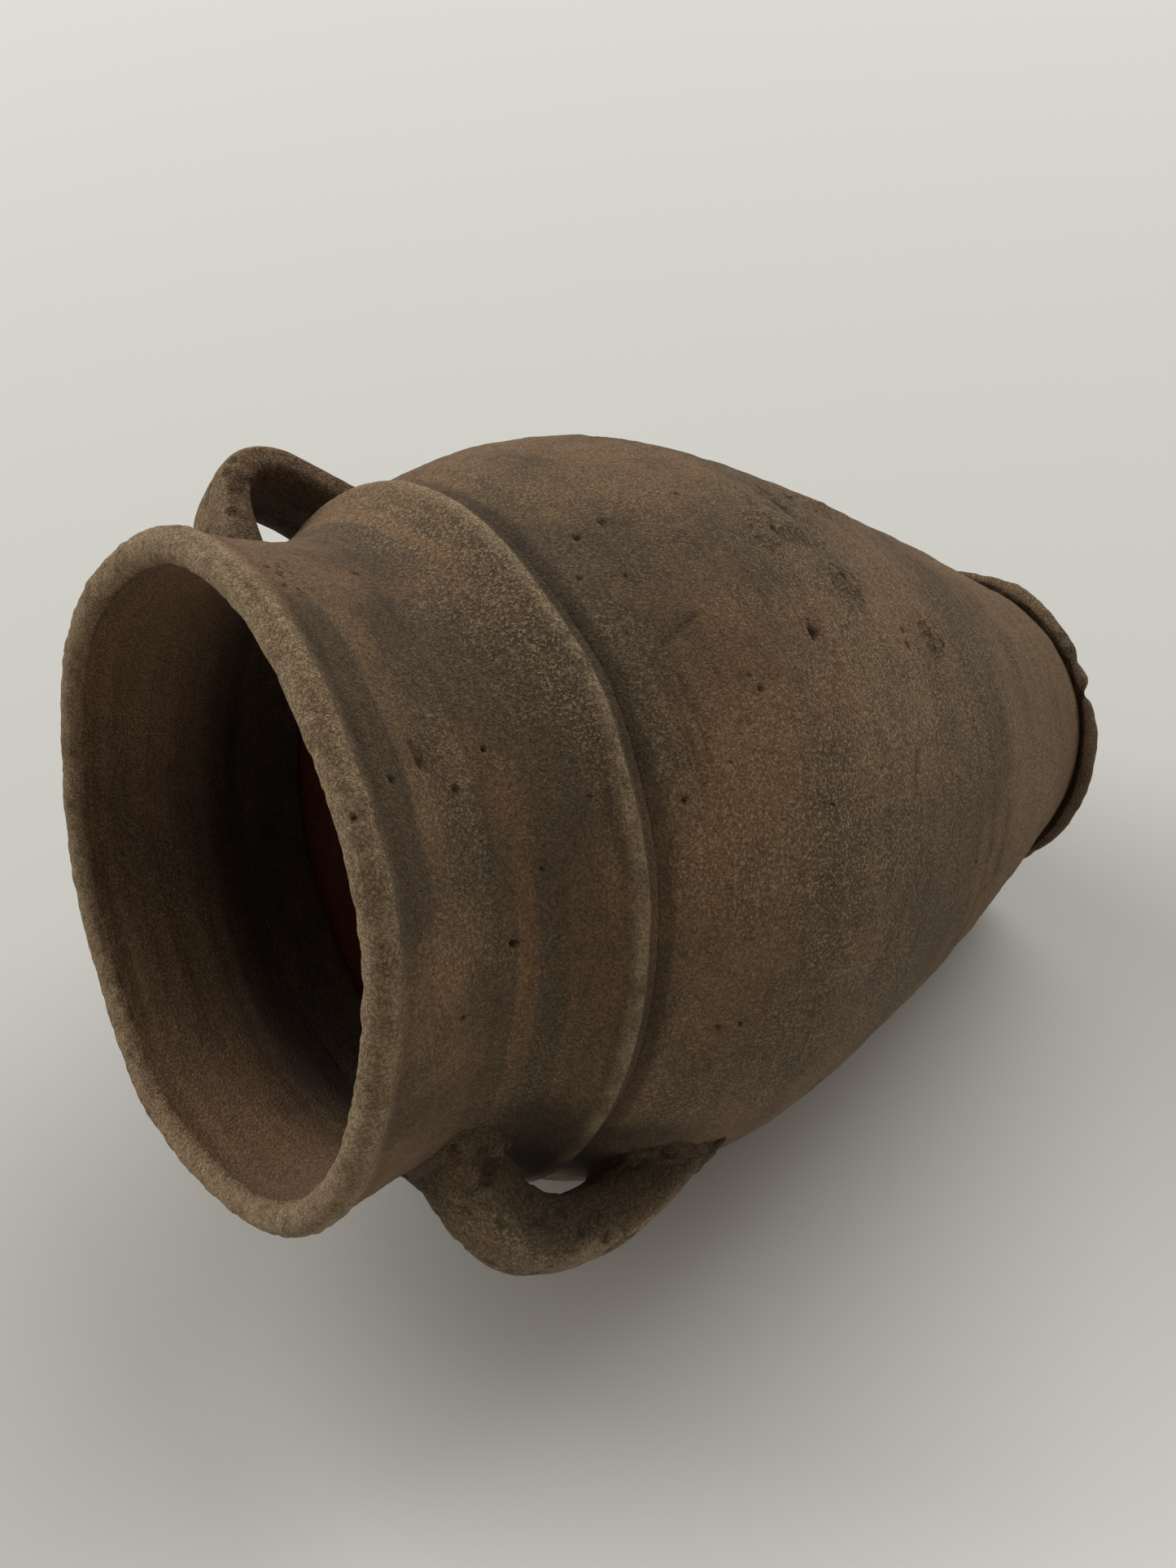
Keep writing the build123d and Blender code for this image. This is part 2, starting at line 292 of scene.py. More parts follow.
NECK_PITS = (
    (-124.2, 210.2, 1.1, 1.2), (-93.5, 209.2, 0.8, 0.9), (-98.8, 217.4, 0.9, 0.8),
    (-100.3, 239.5, 0.9, 0.9), (-95.9, 229.9, 0.8, 0.6), (-113.2, 204.0, 0.6, 0.5),
    (-104.2, 194.5, 0.6, 0.5), (-118.3, 239.3, 0.5, 0.4), (-134.2, 220.3, 0.8, 0.6),
    (-50.5, 229.6, 0.8, 0.7), (-52.2, 231.0, 0.6, 0.6), (-53.4, 229.0, 0.9, 0.7),
    (-54.6, 231.6, 0.7, 0.6), (-55.8, 229.8, 0.6, 0.5), (-57.0, 230.8, 0.9, 0.7),
    (-58.4, 229.2, 0.6, 0.5), (-59.9, 231.4, 0.7, 0.6), (-51.6, 227.6, 0.6, 0.5),
    (-55.0, 227.2, 0.7, 0.5), (-60.8, 229.6, 0.5, 0.5), (-53.9, 212.9, 0.9, 0.7),
    (-58.0, 226.0, 0.5, 0.4), (-62.6, 230.6, 0.6, 0.5), (-50.0, 225.6, 0.6, 0.4),
    (75.0, 205.0, 0.9, 0.8), (120.0, 222.0, 1.0, 0.8), (40.0, 215.0, 0.9, 0.7),
)
NECK_SCRATCHES = (
    (-90.6, 222.9, -94.4, 222.6, 0.7, 0.8), (-60.0, 226.0, -72.0, 225.2, 0.5, 0.2),
    (-98.0, 212.0, -118.0, 213.5, 0.5, 0.12), (100.0, 210.0, 112.0, 211.0, 0.5, 0.25),
)


def around_gap(az, middle):
    """Difference between two places round the jar, in degrees from -180 to 180."""
    return (az - middle + 180.0) % 360.0 - 180.0


# Share of a spot's listed radius that its full depth or height takes up
BODY_PIT_SHARE = 0.48
NECK_PIT_SHARE = 0.52
RAISED_SHARE = 1.0


def pitted(az, p, pits, share):
    """Depth and darkness of a list of pits or raised spots over points p."""
    z = p[..., 2]
    radius = from_axis(p)
    depth = np.zeros(z.shape)
    dark = np.zeros(z.shape)
    rough = 1.0 + 0.5 * lumps(p, 1.1, 77) + 0.3 * lumps(p, 0.6, 79)
    for middle, height, size, deep in pits:
        side = np.radians(around_gap(az, middle)) * radius
        near = np.sqrt((side / 1.25) ** 2 + (z - height) ** 2) * rough / (share * size)
        shape = np.exp(-near ** 4)
        depth = depth + deep * shape
        dark = np.maximum(dark, shape)
    return depth, dark


def scratched(az, p, scratches):
    """Depth and darkness of a list of scratches over points p."""
    z = p[..., 2]
    radius = from_axis(p)
    depth = np.zeros(z.shape)
    dark = np.zeros(z.shape)
    broken = ease(lumps(p, 5.0, 78), -0.75, 0.1)
    for from_az, from_z, to_az, to_z, width, deep in scratches:
        side = np.radians(around_gap(az, from_az)) * radius
        run_side = math.radians(to_az - from_az) * radius
        run_up = to_z - from_z
        along = (side * run_side + (z - from_z) * run_up) / (run_side ** 2 + run_up ** 2)
        along = np.clip(along, 0.0, 1.0)
        away = np.hypot(side - along * run_side, z - from_z - along * run_up)
        shape = np.exp(-(away / width) ** 2) * broken
        depth = depth + deep * shape
        dark = np.maximum(dark, shape * min(1.0, 1.2 * deep))
    return depth, dark


def patch(az, p, middle, height, wide, tall):
    """A soft-edged patch on the jar, sizes in millimetres."""
    side = np.radians(around_gap(az, middle)) * from_axis(p)
    bend = 1.0 + 0.5 * lumps(p, 9.0, 91) + 0.25 * lumps(p, 3.5, 92)
    return np.exp(-((side / wide) ** 2 + ((p[..., 2] - height) / tall) ** 2) * bend)


def patches(az, p, marks):
    """Soft-edged patches laid over each other. Marks are (strength, place, height, wide, tall)."""
    return sum(strength * patch(az, p, *place) for strength, *place in marks)


def darkest(*layers):
    """The darkest of several layers at each point."""
    return np.maximum.reduce(np.broadcast_arrays(*layers))


# Soft patches on the jar: strength, place round the jar in degrees, height, half width, half height
# The first table is painted shade beside and behind the handles
HANDLE_SHADE_PATCHES = (
    (1.0, -162.0, 197.0, 12.0, 9.0), (0.8, -172.0, 190.0, 15.0, 14.0),
    (0.8, -163.0, 172.0, 3.5, 11.0), (0.7, 0.0, 196.0, 15.0, 12.0),
)
SMOKE_PATCHES = (
    (0.3, -140.0, 206.0, 40.0, 12.0), (0.1, -160.0, 110.0, 30.0, 60.0),
    (0.1, -118.0, 70.0, 40.0, 14.0), (0.4, -60.0, 120.0, 40.0, 40.0),
)
WARM_PATCHES = (
    (0.9, -104.0, 168.0, 22.0, 8.0), (0.4, -132.6, 169.0, 15.0, 6.0), (0.3, -92.0, 160.0, 22.0, 9.0),
)
SAND_PATCHES = ((0.75, -115.0, 125.0, 46.0, 34.0), (0.3, -120.0, 222.0, 45.0, 12.0))
BLISTERS = (
    (1.0, -63.0, 118.0, 8.0, 11.0), (1.0, -70.5, 127.0, 6.0, 7.0), (1.0, -56.0, 95.0, 7.0, 9.0),
)
ROUGH_PATCH = (-66.0, 125.0, 45.0, 40.0)
NECK_STREAKS = (
    (1.0, -108.0, 207.5, 17.0, 2.2), (0.7, -138.0, 208.0, 14.0, 1.8), (0.8, -94.0, 214.5, 7.0, 4.0),
)
NECK_SAND_PATCH = (-50.0, 196.0, 45.0, 9.0)

# Unevenness of each wall: height, size, seed
BODY_LUMPS = ((0.42, 58.0, 1), (0.24, 21.0, 2), (0.13, 7.0, 3), (0.08, 2.6, 4), (0.05, 1.4, 10))
BODY_TURNING = ((0.24, 5.0, 5), (0.1, 1.9, 6))
BODY_ROUGHNESS = ((0.22, 4.2, 8), (0.1, 2.0, 9))
NECK_LUMPS = ((0.3, 50.0, 51), (0.16, 17.0, 52), (0.08, 6.0, 53), (0.07, 2.4, 54), (0.05, 1.3, 64))
NECK_TURNING = ((0.28, 6.5, 55), (0.12, 2.1, 56))
NECK_INSIDE_LUMPS = ((0.3, 28.0, 63), (0.08, 2.2, 65))
NECK_INSIDE_TURNING = ((0.35, 5.0, 61), (0.2, 1.9, 62))
LIP_LUMPS = ((0.22, 1.6, 58), (0.16, 3.6, 66))
LIP_TURNING = ((0.12, 1.5, 67),)

# Heights where the walls change
# RIDGE_SHADE sets painted shade on the body's top under the ridge, and RIDGE_HOLLOW painted shade on the
# neck below the ridge's crest
RIDGE_SHADE = (181.2, 182.6)
RIDGE_SHADE_LINE = 181.6
RIDGE_HOLLOW = (186.6, 187.6)
BEAD_GROOVE = 191.8
NECK_STEP_RISE = (203.6, 204.9)
NECK_STEP_FALL = (207.0, 212.0)
LIP_GROOVE = 233.4
LIP_INNER_GROOVE = 234.6
# Painted shade inside the neck fades out by this height
THROAT_SHADE_TOP = 226.0
COMBED_TOP = (70.0, 115.0)
# Stretch round the jar, in degrees, over which the ridge's bead fades out
BEAD_FADE = (-108.0, -86.0)


# Relief and tone of each turned piece

def handle_painted_shade(az, p):
    """Painted shade beside and behind the handles, where the handles and the ridge keep light off the wall.
    """
    return np.clip(0.62 * patches(az, p, HANDLE_SHADE_PATCHES), 0.0, 0.7)


def general_tone(az, p):
    """Fire clouds with some painted shade, blush and sand that run across the whole jar."""
    z = p[..., 2]
    smoke_and_shade = 0.42 + layered(p, ((0.75, 62.0, 21), (0.4, 24.0, 22), (0.2, 8.0, 23)))
    smoke_and_shade = smoke_and_shade + 0.25 * turned_lumps(p, 7.0, 24) + patches(az, p, SMOKE_PATCHES)
    # Darker bands at the seam and round the middle of the neck: partly fire clouds, partly painted shade
    smoke_and_shade = smoke_and_shade + 0.2 * hump(z, 181.0, 6.0) + 0.45 * hump(z, 204.0, 10.0) - 0.4 * hump(z, 40.0, 40.0)
    blush = ease(lumps(p, 45.0, 31) + 0.5 * lumps(p, 14.0, 32), 0.1, 0.8)
    warm = 0.25 * blush + patches(az, p, WARM_PATCHES)
    sand = 0.45 + layered(p, ((0.5, 40.0, 41), (0.25, 12.0, 42))) + patches(az, p, SAND_PATCHES)
    return {"smoke_and_shade": smoke_and_shade, "warm": warm, "sand": sand}


def body_relief(az, p, face):
    z = p[..., 2]
    within = face == "inside"
    out = layered(p, BODY_LUMPS) + layered(p, BODY_TURNING, turned_lumps)
    rough = ease(lumps(p, 30.0, 7) + 0.9 * patch(az, p, *ROUGH_PATCH), 0.2, 0.9)
    out = out + rough * layered(p, BODY_ROUGHNESS)
    blistered = np.clip(patches(az, p, BLISTERS), 0.0, 1.0)
    blister = lumps(p, 3.4, 14)
    out = out + blistered * (0.9 * blister + 0.3 * lumps(p, 1.7, 15))
    combed = (1.0 - ease(z, *COMBED_TOP)) * (0.5 + 0.5 * lumps(p, 34.0, 17))
    out = out + 0.2 * combed * turned_lumps(p, 1.5, 16)
    pits, holes = pitted(az, p, BODY_PITS, BODY_PIT_SHARE)
    raised, _ = pitted(az, p, BODY_RAISED, RAISED_SHARE)
    cuts, lines = scratched(az, p, BODY_SCRATCHES)
    out = out - pits + raised - cuts
    inner = 0.5 * turned_lumps(p, 6.0, 12) + 0.4 * lumps(p, 30.0, 13)
    tone = general_tone(az, p)
    burst = 0.8 * blistered * ease(blister, -0.25, -0.6)
    shaded = ease(z, *RIDGE_SHADE)
    shade_line = hump(z, RIDGE_SHADE_LINE, 0.7) * ease(lumps(p, 3.0, 94), -0.3, 0.5)
    # Pits, scratches and torn blisters are dark marks; the band under the ridge and the patches by the
    # handles are painted shade
    dark = darkest(holes, burst, lines, 0.4 * shaded + 0.3 * shade_line, handle_painted_shade(az, p))
    tone["marks_and_shade"] = np.where(within, 0.0, dark)
    tone["sand"] = tone["sand"] * (1.0 - 0.7 * shaded)
    tone["wear"] = 0.35 * hump(z, 6.0, 3.0)
    tone["inside"] = np.where(within, 1.0, 0.0)
    return np.where(within, inner, out), tone


def lip_angle(p):
    """Angle round the lip's roll in degrees: 0 faces outwards and 90 faces up."""
    radius = from_axis(p)
    return np.degrees(np.arctan2(p[..., 2] - LIP_CENTRE[1], radius - LIP_CENTRE[0]))


def neck_relief(az, p, face):
    z = p[..., 2]
    outside, within, on_lip = face == "outside", face == "inside", face == "lip"
    lip_turn = lip_angle(p)
    beaded = 1.0 - ease(az, *BEAD_FADE)
    bead_groove = hump(z, BEAD_GROOVE, 0.9) * beaded * outside
    lip_groove = hump(z, LIP_GROOVE, 1.4) * outside
    out = layered(p, NECK_LUMPS) + layered(p, NECK_TURNING, turned_lumps)
    lip_bead = 0.25 * hump(lip_turn, 2.0, 15.0) - 0.35 * hump(lip_turn, 36.0, 18.0)
    lip_bead = lip_bead * (0.75 + 0.5 * lumps(p, 26.0, 57))
    lip_out = lip_bead + layered(p, LIP_LUMPS) + layered(p, LIP_TURNING, turned_lumps)
    out = np.where(on_lip, 0.4 * out + lip_out, out)
    out = out - 0.35 * bead_groove * (0.7 + 0.5 * lumps(p, 22.0, 60))
    out = out - 0.45 * lip_groove * (0.7 + 0.5 * lumps(p, 20.0, 68))
    step = ease(z, *NECK_STEP_RISE) * (1.0 - ease(z, *NECK_STEP_FALL)) * outside
    out = out + 0.45 * step * (0.5 + 0.5 * lumps(p, 30.0, 59))
    pits, holes = pitted(az, p, NECK_PITS, NECK_PIT_SHARE)
    cuts, lines = scratched(az, p, NECK_SCRATCHES)
    out = out - pits - cuts
    inner = layered(p, NECK_INSIDE_LUMPS) + layered(p, NECK_INSIDE_TURNING, turned_lumps)
    inner = inner - 0.4 * hump(z, LIP_INNER_GROOVE, 0.9)
    tone = neck_tone(az, p, face)
    # Pits and scratches are dark marks; the darkening in the lip and bead grooves and the patches by the
    # handles are painted shade
    dark = darkest(holes, lines, handle_painted_shade(az, p), 0.22 * lip_groove, 0.22 * bead_groove)
    tone["marks_and_shade"] = darkest(tone["marks_and_shade"], np.where(within, 0.0, dark))
    return np.where(within, inner, out), tone


def neck_tone(az, p, face):
    """Bands left by turning, wear on the ridge and lip, painted shade below the ridge's crest, and painted
    shade deepening down the throat.
    """
    z = p[..., 2]
    outside, within, on_lip = face == "outside", face == "inside", face == "lip"
    lip_turn = lip_angle(p)
    beaded = 1.0 - ease(az, *BEAD_FADE)
    bands = ease(turned_lumps(p, 7.0, 34), 0.05, 0.45) * outside
    pale_bands = ease(turned_lumps(p, 4.5, 33), 0.2, 0.5) * outside
    # Painted shade on the band below the ridge's crest
    hollow_shade = (1.0 - ease(z, *RIDGE_HOLLOW)) * outside
    # Painted shade over the inside of the neck, deepening down towards the coil
    throat_shade = (0.2 + 0.7 * (1.0 - ease(z, COIL_TOP, THROAT_SHADE_TOP))) * within
    tone = general_tone(az, p)
    tone["smoke_and_shade"] = tone["smoke_and_shade"] + 0.6 * bands - 0.3 * pale_bands
    tone["warm"] = tone["warm"] + 0.4 * pale_bands + 0.6 * patches(az, p, NECK_STREAKS)
    sand = (tone["sand"] - 0.2 * outside) * (1.0 - 0.8 * bands) * (1.0 - 0.7 * hollow_shade)
    rubbed = 0.7 * hump(z, 191.0, 4.0) * (1.0 - beaded) + patch(az, p, *NECK_SAND_PATCH)
    tone["sand"] = np.where(on_lip, 0.9, sand + rubbed * outside)
    crest = np.maximum(hump(z, 188.4, 1.6), beaded * hump(z, 189.2, 1.7)) * outside
    lip_wear = 0.35 + 0.65 * ease(lip_turn, -20.0, 15.0)
    lip_wear = lip_wear - 0.5 * hump(lip_turn, 34.0, 16.0) - 0.6 * ease(lip_turn, 135.0, 178.0)
    below_lip = 0.35 * ease(z, 234.0, RIM[1]) * outside
    tone["wear"] = np.maximum(0.9 * crest, np.where(on_lip, lip_wear, below_lip))
    tone["marks_and_shade"] = np.maximum(0.4 * hollow_shade, throat_shade)
    tone["inside"] = np.where(within, 0.1, 0.0)
    return tone


def foot_relief(az, p, face):
    side = np.radians(az)
    ragged = 0.5 * np.sin(5.0 * side + 0.8) + 0.35 * np.sin(11.0 * side) + 0.7 * lumps(p, 9.0, 71)
    edge = ease(from_axis(p), 36.0, 42.5)
    out = edge * (0.55 * ragged + 0.3 * lumps(p, 3.4, 72) + 0.14 * lumps(p, 1.6, 73))
    notch = hump(around_gap(az, -104.5), 0.0, 2.6) + 0.6 * hump(around_gap(az, -92.0), 0.0, 3.5)
    out = out - 1.9 * edge * notch
    under = 0.16 * lumps(p, 14.0, 74) + 0.1 * lumps(p * np.array([1.0, 0.16, 1.0]), 1.8, 75)
    out = np.where(face == "under", under + edge * out, out)
    tone = general_tone(az, p)
    tone["smoke_and_shade"] = tone["smoke_and_shade"] + 0.6
    # Painted shade on the top of the flange, in the groove under the wall
    undercut_shade = 0.75 * (face == "top") * (0.7 + 0.5 * lumps(p, 5.0, 78))
    tone["marks_and_shade"] = np.clip(np.maximum(0.55 * notch * edge, undercut_shade) + 0.12, 0.0, 1.0)
    tone["wear"] = 0.3 * edge * ease(lumps(p, 6.0, 76), -0.4, 0.6)
    tone["inside"] = np.where(face == "inside", 1.0, 0.0)
    return out, tone


def coil_relief(az, p, face):
    z = p[..., 2]
    side = np.radians(az)
    dabs = np.sin(9.0 * side + 3.0 * lumps(p, 40.0, 81)) * hump(z, COIL_BOTTOM, 5.0)
    out = 0.15 * dabs + 0.25 * lumps(p, 16.0, 82) + 0.1 * lumps(p, 4.5, 83) + 0.2 * turned_lumps(p, 5.0, 85)
    tone = general_tone(az, p)
    # Painted shade: the coils, deep in the throat and in the body, are painted almost black
    tone["marks_and_shade"] = 0.9 + 0.1 * lumps(p, 6.0, 84)
    tone["wear"] = np.zeros(z.shape)
    tone["inside"] = np.full(z.shape, 0.1)
    return out, tone


# Building the meshes

PIECES = []


def placed(name, data):
    """A new object in the scene."""
    thing = bpy.data.objects.new(name, data)
    bpy.context.scene.collection.objects.link(thing)
    return thing


def finished(node, slot, points, quads, tone):
    """Makes one piece from its points in millimetres and hangs it on the frame."""
    name = node + "_clay"
    mesh = bpy.data.meshes.new(name)
    flat = (by_hand(points.reshape(-1, 3)) * MM).astype(np.float32)
    mesh.vertices.add(len(flat))
    mesh.vertices.foreach_set("co", flat.ravel())
    mesh.loops.add(quads.size)
    mesh.loops.foreach_set("vertex_index", quads.astype(np.int32).ravel())
    mesh.polygons.add(len(quads))
    mesh.polygons.foreach_set("loop_start", np.arange(0, quads.size, 4, dtype=np.int32))
    mesh.polygons.foreach_set("use_smooth", np.ones(len(quads), dtype=bool))
    mesh.update(calc_edges=True)
    mesh.validate()
    for key, values in tone.items():
        layer = mesh.attributes.new(key, "FLOAT", "POINT")
        level = np.clip(values, 0.0, 1.0).astype(np.float32)
        layer.data.foreach_set("value", np.ascontiguousarray(level).ravel())
    mesh.materials.append(CLAYS[slot])
    piece = placed(name, mesh)
    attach(piece, "root")
    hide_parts(node)
    PIECES.append(flat)


def ring_quads(around, along):
    """Faces of a closed ring of closed sections."""
    i, j = np.meshgrid(np.arange(around), np.arange(along), indexing="ij")
    i2, j2 = (i + 1) % around, (j + 1) % along
    corners = [i * along + j, i2 * along + j, i2 * along + j2, i * along + j2]
    return np.stack(corners, axis=-1).reshape(-1, 4)


def jar_turns():
    front = np.linspace(FRONT_FROM, FRONT_TO, FRONT_STEPS, endpoint=False)
    back = np.linspace(FRONT_TO, FRONT_FROM + 360.0, BACK_STEPS, endpoint=False)
    return np.concatenate([front, back])


def turned_piece(node, slot, stretches, relief, fade):
    """A ring-shaped piece turned from an outline. Stretches are (line, step, face)."""
    line, face = [], []
    for points, step, kind in stretches:
        part = even(points, step)[:-1]
        line.append(part)
        face += [kind] * len(part)
    line, face = np.concatenate(line), np.array(face)
    along = np.roll(line, -1, axis=0) - np.roll(line, 1, axis=0)
    along = along / np.maximum(np.hypot(along[:, 0], along[:, 1]), 1e-9)[:, None]
    outward = np.stack([along[:, 1], -along[:, 0]], axis=-1)
    run = run_along(np.concatenate([line, line[:1]]))
    total, run = run[-1], run[:-1]
    free = np.ones(len(line))
    if np.any(face == "seat"):
        apart = np.abs(run[:, None] - run[face == "seat"][None, :])
        free = ease(np.minimum(apart, total - apart).min(axis=1), 0.0, fade)
    az = np.broadcast_to(jar_turns()[:, None], (FRONT_STEPS + BACK_STEPS, len(line)))
    turn = np.radians(az)
    cos, sin = np.cos(turn), np.sin(turn)
    p = np.stack([line[:, 0] * cos, line[:, 0] * sin, np.broadcast_to(line[:, 1], az.shape)], axis=-1)
    out, tone = relief(az, p, np.broadcast_to(face, az.shape))
    out = out * free
    upward = np.broadcast_to(outward[:, 1], az.shape)
    push = np.stack([outward[:, 0] * cos, outward[:, 0] * sin, upward], axis=-1)
    p = p + out[..., None] * push
    finished(node, slot, p, ring_quads(len(az), len(line)), tone)


def strap_line(handle):
    """Middle line of a strap as radius and height, the run along it, and the run to its fullest point."""
    top, full, tail = handle.top, handle.full, handle.tail
    reach = HANDLE_FACE - handle.thickness / 2.0
    top_r, tail_r = float(wall_radius(top)), float(wall_radius(tail))
    fall = full - tail
    arch = curve(
        [(top_r - ROOT_DEPTH, top), (top_r + (reach - top_r) * 0.7, top),
         (reach, full + (top - full) * 0.6), (reach, full)], HANDLE_POINTS)
    drop = curve(
        [(reach, full), (reach, full - 0.4 * fall),
         (tail_r, tail + 0.2 * fall), (tail_r - ROOT_DEPTH, tail - ROOT_DEPTH)], HANDLE_POINTS)
    line, at = points_along(joined(arch, drop), STRAP_STEPS)
    return line, at, run_along(arch)[-1]


def strap_section():
    """Rounded-square section of a strap: how far across and how far out each point lies, from -1 to 1."""
    a = np.linspace(0.0, 2.0 * math.pi, STRAP_AROUND, endpoint=False)
    square = 2.0 / STRAP_SQUARENESS
    across = np.sign(np.sin(a)) * np.abs(np.sin(a)) ** square
    deep = np.sign(np.cos(a)) * np.abs(np.cos(a)) ** square
    return across, deep


def strap_grid(handle, seed):
    """Points of a strap, the directions it swells in, its torn spots and the run along it."""
    line, at, full_at = strap_line(handle)
    across, deep = strap_section()
    along = np.gradient(line, axis=0)
    along = along / np.hypot(along[:, 0], along[:, 1])[:, None]
    outer = np.stack([-along[:, 1], along[:, 0]], axis=-1)
    top = np.clip(1.0 - at / full_at, 0.0, 1.0) ** 2
    tail = np.clip((at - full_at) / (at[-1] - full_at), 0.0, 1.0) ** 2
    thickness, width = handle.thickness, handle.width
    thick = (thickness + (TOP_THICKNESS - thickness) * top + (TAIL_THICKNESS - thickness) * tail) / 2.0
    wide = (width + (TOP_WIDTH - width) * top + (TAIL_WIDTH - width) * tail) / 2.0
    rise = thick[:, None] * deep + (handle.flare * top)[:, None] * np.minimum(deep, 0.0)
    r = line[:, None, 0] + outer[:, None, 0] * rise
    z = line[:, None, 1] + outer[:, None, 1] * rise
    p = np.stack([r, wide[:, None] * across + handle.shift, z], axis=-1)
    middle = np.stack([line[:, 0], np.full(len(line), handle.shift), line[:, 1]], axis=-1)
    push = unit(p - middle[:, None, :])
    noise_at = p + seed * 100.0
    ridges = 1.0 - np.abs(lumps(noise_at * np.array([0.35, 1.0, 0.35]), 7.0, seed + 4))
    torn = ease(lumps(noise_at, 2.6, seed + 3), 0.45, 0.65)
    out = layered(noise_at, ((0.55, 17.0, seed), (0.28, 6.5, seed + 1), (0.13, 2.4, seed + 2)))
    out = out + 0.25 * (ridges - 0.6) - 0.4 * torn
    p = p + out[..., None] * push
    radius = from_axis(p)
    held = np.maximum(radius, wall_radius(p[..., 2]) - BURIED) / np.maximum(radius, 1.0)
    p = p * np.stack([held, held, np.ones_like(held)], axis=-1)
    turn = math.radians(handle.place)
    spin = np.array([[math.cos(turn), math.sin(turn), 0], [-math.sin(turn), math.cos(turn), 0], [0, 0, 1]])
    return p @ spin, push @ spin, torn, at


def strap_tone(handle, p, torn):
    """Tone of a strap: rubbed pale on its outer edges, with painted shade at its roots, on its sides and
    underneath.
    """
    across, deep = strap_section()
    az = np.degrees(np.arctan2(p[..., 1], p[..., 0]))
    facing = np.broadcast_to(deep, az.shape)
    clear = from_axis(p) - wall_radius(p[..., 2])
    # Masks of painted shade: near the wall at the roots, on the sides, and on the far side of the inner
    # face; the edge mask is rubbed wear
    root_shade = 1.0 - ease(clear, 2.0, 15.0)
    flank_shade = handle.soiled * ease(np.abs(across), 0.75, 0.97)
    edge = ease(np.abs(across), 0.5, 0.9) * ease(facing, 0.35, 0.8)
    hollow_shade = (1.0 - handle.soiled) * ease(across, -0.1, 0.4) * ease(facing, 0.2, -0.4)
    # The inner face, towards the wall, takes painted shade here
    smoke_and_shade = 0.25 + 0.4 * lumps(p, 25.0, 25) + 0.25 * lumps(p, 9.0, 26) + 0.3 * (facing < -0.3)
    sand = (0.45 + 0.5 * lumps(p, 14.0, 44) + 0.4 * ease(facing, 0.2, 1.0)) * (1.0 - 0.7 * flank_shade)
    wear = 0.9 * edge * ease(lumps(p, 8.0, 45), -0.5, 0.4) + 0.25 * ease(facing, 0.5, 1.0)
    tone = general_tone(az, p)
    # Painted shade on the sides, at the roots and on the inner face goes into the darker tones; torn spots
    # are dark marks
    tone["smoke_and_shade"] = smoke_and_shade + 0.6 * flank_shade + handle.soiled * (0.25 + 0.6 * root_shade)
    tone["sand"] = sand * (1.0 - 0.8 * root_shade)
    tone["wear"] = wear * (1.0 - root_shade)
    tone["marks_and_shade"] = darkest(0.6 * torn, 0.35 * flank_shade * ease(facing, 0.6, -0.2), 0.8 * hollow_shade)
    tone["inside"] = np.zeros(az.shape)
    return tone


def strap_quads(steps, around):
    """Faces along a strap, with its two buried ends closed by fans of quads."""
    i, j = np.meshgrid(np.arange(steps - 1), np.arange(around), indexing="ij")
    j2 = (j + 1) % around
    corners = [i * around + j, (i + 1) * around + j, (i + 1) * around + j2, i * around + j2]
    sides = np.stack(corners, axis=-1).reshape(-1, 4)
    half = around // 2
    k = np.arange(half - 1)
    first = np.stack([k, k + 1, around - 2 - k, around - 1 - k], axis=-1)
    last = first[:, ::-1] + (steps - 1) * around
    return np.concatenate([sides, first, last])


def strap_piece(node, handle, seed):
    p, push, torn, at = strap_grid(handle, seed)
    quads = strap_quads(STRAP_STEPS, STRAP_AROUND)
    finished(node, "handle_clay", p, quads, strap_tone(handle, p, torn))
    return p, push, at


# Wads of luting clay
WAD_ROWS = 22
WAD_SWELL = 0.8
WAD_SUNK_IN_WALL = 0.7
WAD_SUNK_IN_STRAP = 0.5
WAD_DEPTH = 2.2
WAD_EDGE_DEPTH = 2.0
WAD_LOWEST_RISE, WAD_HIGHEST_RISE = 1.5, 14.0
STRAP_CLEAR = 0.2


def wad_lines(strap, end, spread, reach, seed):
    """A wad's edge on the wall, the corner it fills and its edge on the strap, then the two ways out."""
    p, push, at = strap
    clear = from_axis(p) - wall_radius(p[..., 2])
    order = np.arange(STRAP_STEPS) if end == "top" else np.arange(STRAP_STEPS)[::-1]
    first = np.argmax(clear[order] > STRAP_CLEAR, axis=0)
    j = np.arange(STRAP_AROUND)
    turn = 2.0 * math.pi * j / STRAP_AROUND
    uneven = 1.0 + 0.35 * np.sin(3.0 * turn + seed) + 0.25 * np.sin(7.0 * turn + 2.0 * seed)
    rise = np.clip(reach * uneven, WAD_LOWEST_RISE, WAD_HIGHEST_RISE)
    steps_up = (rise / (at[1] - at[0])).astype(int)
    corner = p[order[first], j]
    strap_out = push[order[first], j]
    wall_out = unit(corner * np.array([1.0, 1.0, 0.0]))
    away = corner - corner.mean(axis=0)
    away = unit(away - np.sum(away * wall_out, axis=-1)[:, None] * wall_out)
    edge = corner + away * (spread * uneven)[:, None]
    side = np.arctan2(edge[:, 1], edge[:, 0])
    wall = wall_radius(edge[:, 2]) - WAD_SUNK_IN_WALL
    on_wall = np.stack([wall * np.cos(side), wall * np.sin(side), edge[:, 2]], axis=-1)
    on_strap = p[order[np.minimum(first + steps_up, STRAP_STEPS // 2)], j] - WAD_SUNK_IN_STRAP * strap_out
    return on_wall, corner, on_strap, wall_out, strap_out


